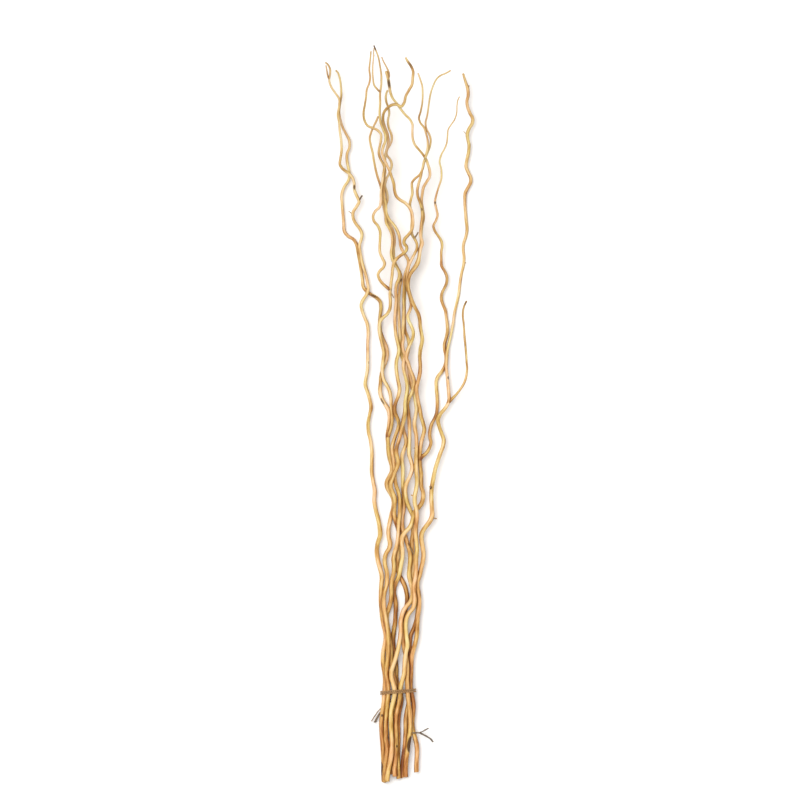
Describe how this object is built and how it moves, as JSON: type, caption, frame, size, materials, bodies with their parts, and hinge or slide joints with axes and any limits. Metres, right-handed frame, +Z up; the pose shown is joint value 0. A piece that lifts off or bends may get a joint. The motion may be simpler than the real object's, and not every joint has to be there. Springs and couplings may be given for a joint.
{
  "type": "bundle of willow stems",
  "caption": "Bundle of long, peeled, curly willow stems, tied near the cut ends with brown twine and fanning out to thin forked tips; it lies on a surface.",
  "frame": {"origin": "middle of the bundle's outline seen from above, on the surface it lies on", "axes": "+Y along the bundle from the cut ends to the tips, +Z up from the surface, +X to the right when seen from above with the tips up"},
  "size_m": [0.3614, 1.7809, 0.1317],
  "materials": {
    "peeled_willow": "satin",
    "pale_willow": "satin",
    "twine": "matte"
  },
  "bodies": {
    "root": {"stem_1": "peeled_willow", "stem_2": "peeled_willow", "stem_3": "pale_willow", "stem_4": "peeled_willow", "stem_5": "peeled_willow", "stem_6": "peeled_willow", "stem_7": "peeled_willow", "stem_8": "peeled_willow", "stem_9": "peeled_willow", "twine_tie": "twine"}
  },
  "joints": []
}
